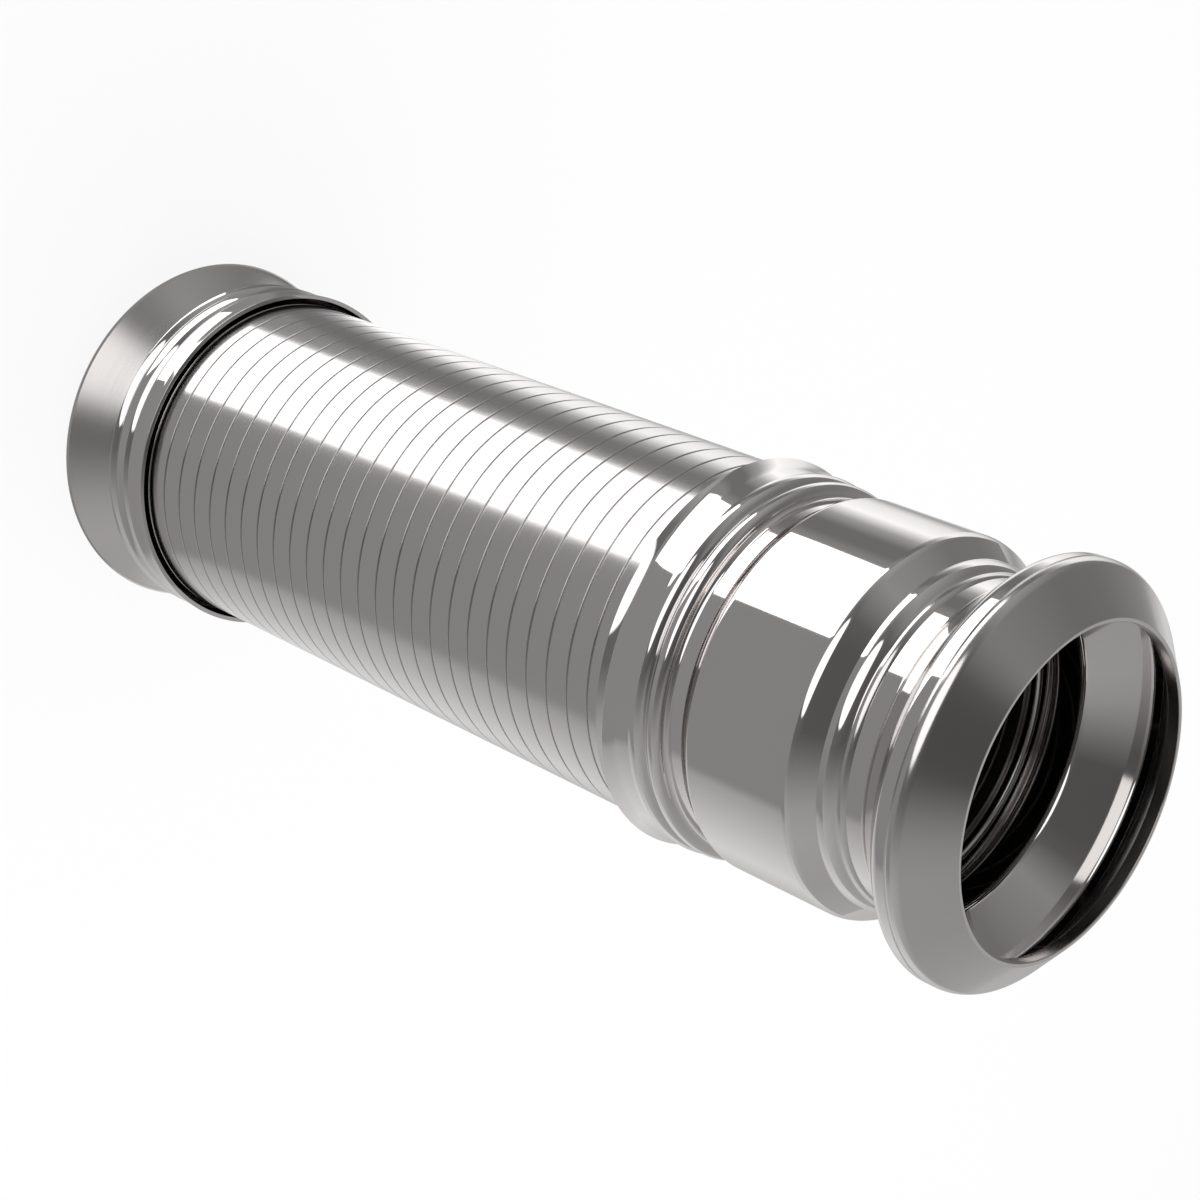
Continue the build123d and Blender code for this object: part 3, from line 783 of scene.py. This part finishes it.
# White card. Its two long sides fan out from the pipe, so that every straight wall mirrors
# it as a bright streak with clean edges.
WHITE_LIGHT = 2.2
WHITE_CORNERS = [
    (0.080, -0.015), (0.227, -0.087), (0.417, -0.205), (0.538, -0.261), (1.4, -0.70),
    (0.6, -1.9), (0.106, -0.475), (0.070, -0.290), (0.053, -0.170), (0.045, -0.077),
]
bm = bmesh.new()
bm.faces.new([bm.verts.new((x, y, 2 * CARD_HEIGHT)) for x, y in WHITE_CORNERS])
mirror_card("white_card", bm, lit_cloth("white_card", WHITE_LIGHT)[0])

# Dark card. It lies over the other two under the standing pipe and closes the foot of the bore,
# so that the mouth looks down into the dark: a nearly black sheet as painted shade for the bore.
DARK_RADIUS = 0.062
# Nearly black glow of the dark card: painted shade inside the bore
DARK_LIGHT = 0.02
bm = bmesh.new()
bmesh.ops.create_circle(
    bm, cap_ends=True, radius=DARK_RADIUS, segments=CARD_STEPS,
    matrix=Matrix.Translation((0, 0, 3 * CARD_HEIGHT)),
)
mirror_card("dark_card", bm, lit_cloth("dark_card", DARK_LIGHT)[0])

# Front card. A round soft box stands in front of the pipe, and every rounded shoulder and
# bead mirrors it as an oval. Its light fades out over its edge.
FRONT_HEADING = radians(-10.5)
FRONT_LIFT = radians(18)
FRONT_FOOT = 0.17
FRONT_DISTANCE = 2.3
FRONT_RADIUS = 1.2
FRONT_SQUASH = 0.79
FRONT_EDGE = 0.08
FRONT_LIGHT = 1.55
front_way = Matrix.Rotation(FRONT_HEADING, 4, "Z") @ Matrix.Rotation(-FRONT_LIFT, 4, "Y")
front_place = (
    Matrix.Translation((0, 0, FRONT_FOOT)) @ front_way @ Matrix.Translation((FRONT_DISTANCE, 0, 0))
)
front_shape = Matrix.Diagonal((1, 1, FRONT_SQUASH, 1)) @ Matrix.Rotation(radians(90), 4, "Y")
bm = bmesh.new()
bmesh.ops.create_circle(
    bm, cap_ends=True, radius=FRONT_RADIUS, segments=CARD_STEPS, matrix=front_place @ front_shape
)
front_cloth, front_light, front_out = lit_cloth("front_card", FRONT_LIGHT)
front_spot = add_node(
    front_cloth, "ShaderNodeMapping", {"vector_type": "TEXTURE"},
    {
        "Vector": add_node(front_cloth, "ShaderNodeTexCoord").outputs["Object"],
        "Location": front_place.translation, "Rotation": front_way.to_euler(),
        "Scale": (FRONT_RADIUS, FRONT_RADIUS, FRONT_RADIUS * FRONT_SQUASH),
    },
)
front_off = add_node(
    front_cloth, "ShaderNodeVectorMath", {"operation": "LENGTH"}, {0: front_spot.outputs["Vector"]}
)
front_fade = add_node(
    front_cloth, "ShaderNodeMapRange",
    inputs={"Value": front_off.outputs["Value"], "From Min": 1 - FRONT_EDGE, "From Max": 1.0},
)
front_mix = add_node(
    front_cloth, "ShaderNodeMixShader",
    inputs={
        0: front_fade.outputs[0], 1: front_light.outputs[0],
        2: add_node(front_cloth, "ShaderNodeBsdfTransparent").outputs[0],
    },
)
front_cloth.node_tree.links.new(front_mix.outputs[0], front_out.inputs[0])
mirror_card("front_card", bm, front_cloth)

# Tent. Its cloth is dark overhead and straight in front, and lighter to the sides and the
# back. Its grey is a level for the height times a level for the side.
TENT_RADIUS = 3.5
TENT_RINGS = 48
TENT_LEVELS = [(0, 0.42), (0.5, 0.36), (0.66, 0.33), (0.78, 0.30), (0.88, 0.27), (1, 0.2)]
TENT_SIDES = [
    (-180, 1.5), (-150, 0.75), (-130, 0.58), (-112, 0.6), (-92, 0.85), (-72, 1.05), (-60, 0.8),
    (-46, 0.45), (-30, 0.38), (0, 0.38), (30, 0.38), (44, 0.62), (60, 0.96), (74, 1.22), (90, 1.3),
    (120, 1.12), (150, 1.15), (180, 1.5),
]
tent_cloth, tent_light = lit_cloth("tent_cloth", 1.0)[:2]
tent_place = add_node(tent_cloth, "ShaderNodeTexCoord").outputs["Object"]
tent_parts = add_node(tent_cloth, "ShaderNodeSeparateXYZ", inputs={0: tent_place})
tent_lift = add_node(
    tent_cloth, "ShaderNodeMapRange",
    inputs={"Value": tent_parts.outputs["Z"], "From Max": TENT_RADIUS},
)
lift_grey = add_node(tent_cloth, "ShaderNodeValToRGB", inputs={0: tent_lift.outputs[0]})
set_stops(lift_grey, TENT_LEVELS)
side_grey = add_node(
    tent_cloth, "ShaderNodeValToRGB", inputs={0: heading(tent_cloth, tent_parts)}
)
set_stops(side_grey, round_the_pipe(TENT_SIDES))
tent_grey = add_node(
    tent_cloth, "ShaderNodeVectorMath", {"operation": "MULTIPLY"},
    {0: lift_grey.outputs[0], 1: side_grey.outputs[0]},
)
tent_cloth.node_tree.links.new(tent_grey.outputs[0], tent_light.inputs["Color"])
bm = bmesh.new()
bmesh.ops.create_uvsphere(bm, u_segments=CARD_STEPS, v_segments=TENT_RINGS, radius=TENT_RADIUS)
bmesh.ops.bisect_plane(
    bm, geom=bm.verts[:] + bm.edges[:] + bm.faces[:], plane_co=(0, 0, 0), plane_no=(0, 0, -1),
    clear_outer=True,
)
mirror_card("tent", bm, tent_cloth)

# Lamp. One large soft box almost overhead gives the floor its light and the pipe its
# shadow. Mirrors don't see it, because the cards stand in for it there.
LAMP_SIZE = 1.6
LAMP_PLACE = Vector((-0.3, 0.4, 2.2))
LAMP_AIM = Vector((0, 0, 0.2))
LAMP_POWER = 38.0
softbox = bpy.data.lights.new("softbox", "AREA")
softbox.shape = "SQUARE"
softbox.size = LAMP_SIZE
softbox.energy = LAMP_POWER
lamp = bpy.data.objects.new("softbox", softbox)
lamp.location = LAMP_PLACE
lamp.rotation_euler = (LAMP_PLACE - LAMP_AIM).to_track_quat("Z", "Y").to_euler()
lamp.visible_glossy = False
bpy.context.scene.collection.objects.link(lamp)

# World. It is plain white to the camera and to mirrors, and gives everything else
# a soft fill.
WORLD_FILL = 0.6
world = bpy.data.worlds.new("pale_world")
world.use_nodes = True
world.node_tree.nodes.clear()
world_level = add_node(
    world, "ShaderNodeMapRange", inputs={"Value": seen(world), "To Min": WORLD_FILL, "To Max": 1.0}
)
sky = add_node(
    world, "ShaderNodeBackground",
    inputs={"Color": (1, 1, 1, 1), "Strength": world_level.outputs[0]},
)
add_node(world, "ShaderNodeOutputWorld", inputs={"Surface": sky.outputs[0]})
bpy.context.scene.world = world

# Camera. It looks down on the standing pipe and is rolled over, so that the mouth lies at the
# lower right of the picture as the photo has it.
CAMERA_PLACE = Vector((0.63534, 0, 0.76210))
CAMERA_AIM = Vector((0, 0.00156, 0.21648))
CAMERA_ROLL = radians(112.898)
CAMERA_LENS = 75.78
CAMERA_SENSOR = 36
CAMERA_NEAR = 0.01
CAMERA_FAR = 50
camera_data = bpy.data.cameras.new("camera")
camera_data.lens = CAMERA_LENS
camera_data.sensor_width = CAMERA_SENSOR
camera_data.clip_start = CAMERA_NEAR
camera_data.clip_end = CAMERA_FAR
camera = bpy.data.objects.new("camera", camera_data)
bpy.context.scene.collection.objects.link(camera)
look = (CAMERA_PLACE - CAMERA_AIM).to_track_quat("Z", "Y").to_matrix().to_4x4()
camera.matrix_world = Matrix.Translation(CAMERA_PLACE) @ look @ Matrix.Rotation(CAMERA_ROLL, 4, "Z")
bpy.context.scene.camera = camera
bpy.context.scene.view_settings.view_transform = "Standard"
